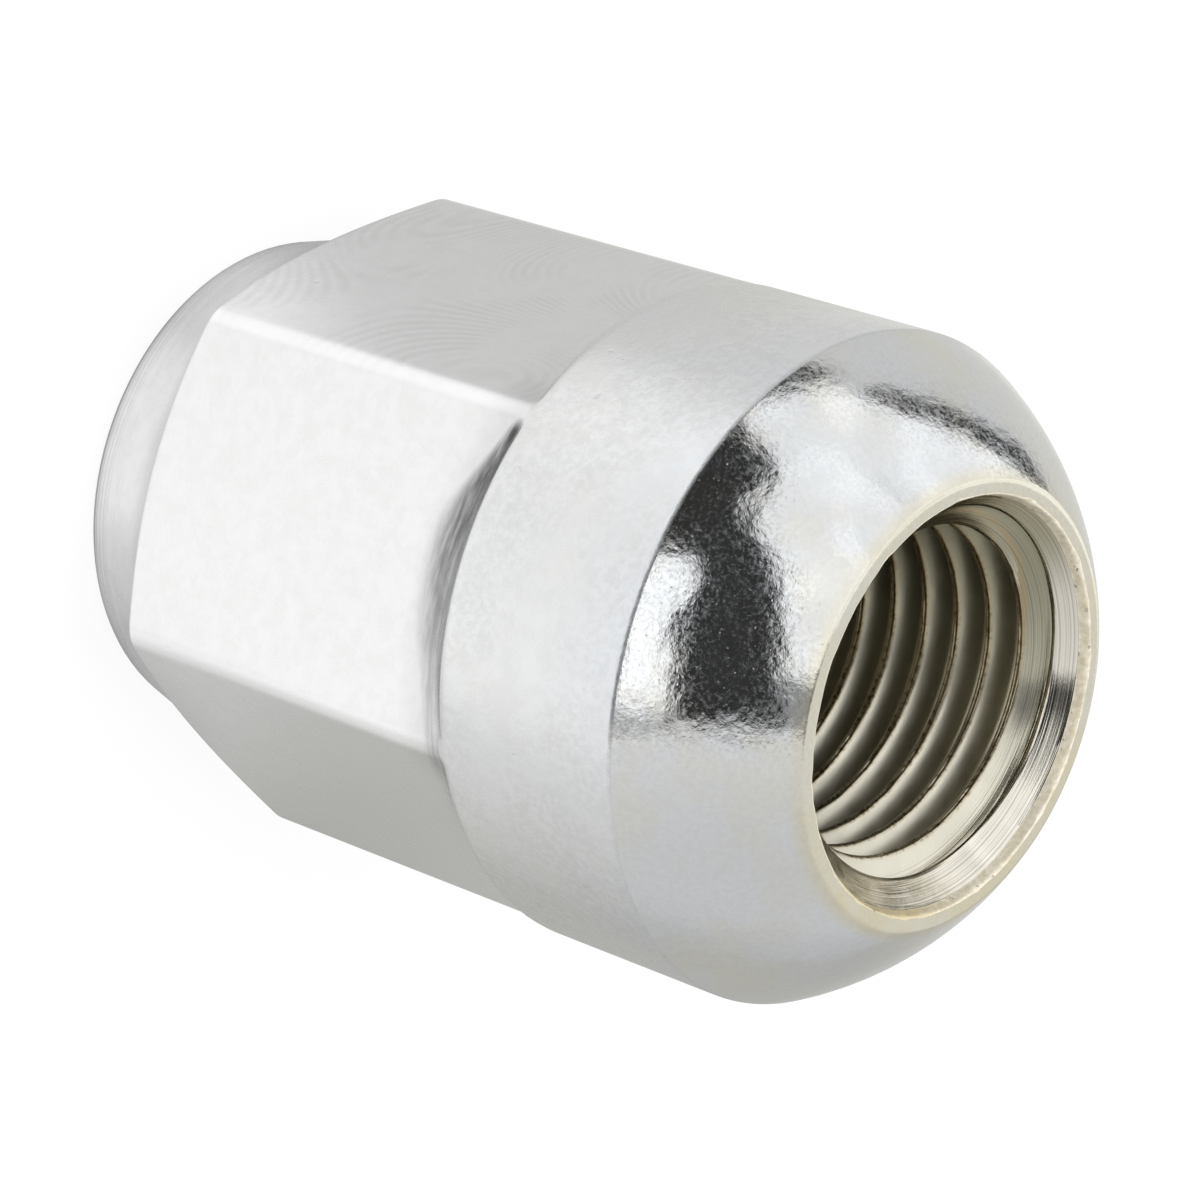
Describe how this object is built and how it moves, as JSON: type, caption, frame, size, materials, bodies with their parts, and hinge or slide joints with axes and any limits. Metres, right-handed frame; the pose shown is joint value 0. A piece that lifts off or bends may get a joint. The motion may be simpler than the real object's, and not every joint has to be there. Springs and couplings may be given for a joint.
{
  "type": "lug nut",
  "caption": "Closed-end wheel lug nut: spanner hexagon, round collar, ball seat and a blind right-hand thread that clamps a road wheel on its stud.",
  "frame": {"origin": "centre of the closed end's face, on the nut's axis", "axes": "+Z along the axis from the closed end to the mouth; the hexagon has corners on +X and -X and flats facing +Y and -Y"},
  "size_m": [0.0252, 0.0252, 0.035],
  "materials": {
    "plated_steel": "bright zinc plate, satin, lightly worn"
  },
  "bodies": {
    "root": {"lug_nut": "plated_steel"}
  },
  "joints": []
}
